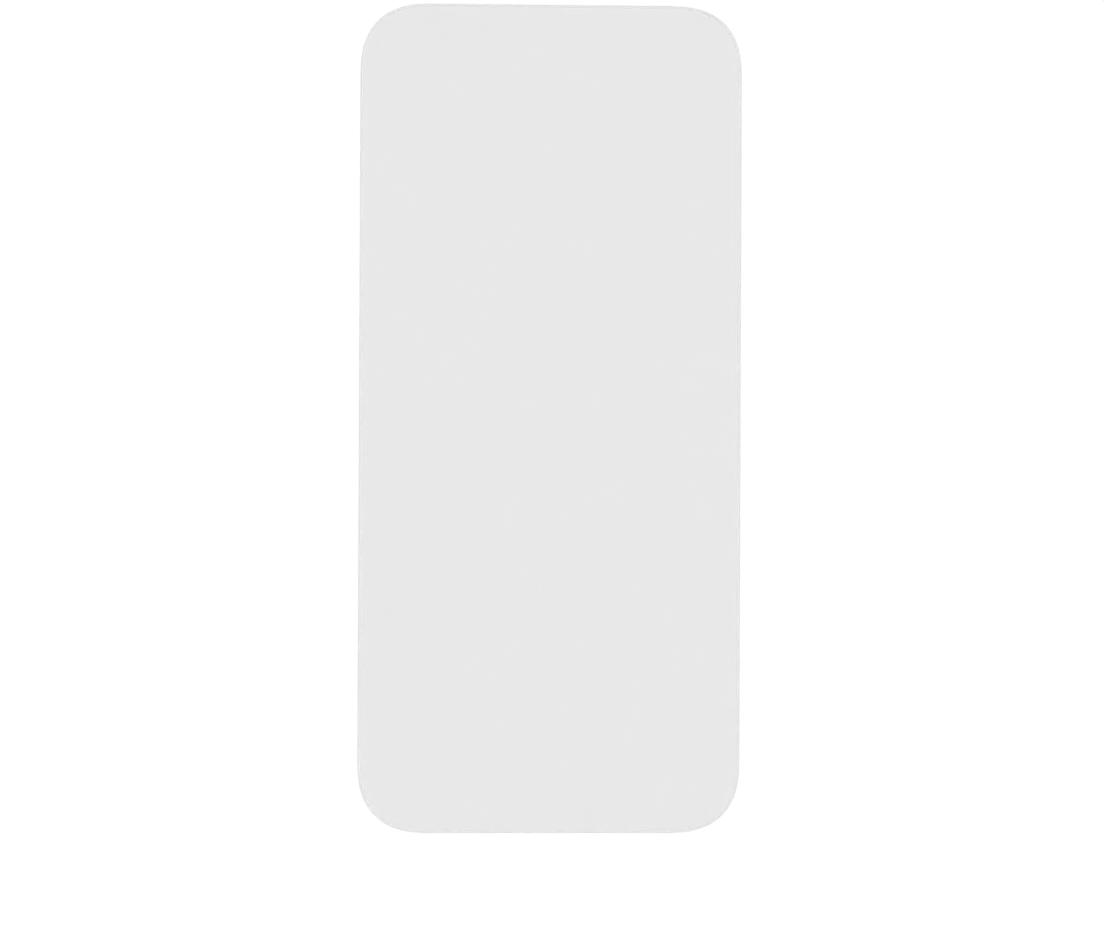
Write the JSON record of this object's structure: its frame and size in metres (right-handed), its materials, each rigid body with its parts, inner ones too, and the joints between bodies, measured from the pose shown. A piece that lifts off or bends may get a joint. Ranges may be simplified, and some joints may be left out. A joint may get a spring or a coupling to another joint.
{
  "type": "phone screen protector",
  "caption": "Flat rectangular sheet of clear tempered glass with rounded corners and a rounded front edge, which sticks over a phone's screen to protect it.",
  "frame": {"origin": "middle of the adhesive face, at the bottom of the sheet as it lies with its front face up", "axes": "+X across the width, +Y along the length, +Z out of the front face, which faces up"},
  "size_m": [0.0666, 0.1444, 0.0003],
  "materials": {
    "protector_glass": "clear polished glass, faintly grey over white"
  },
  "bodies": {
    "root": {"protector_glass": "protector_glass"}
  },
  "joints": []
}
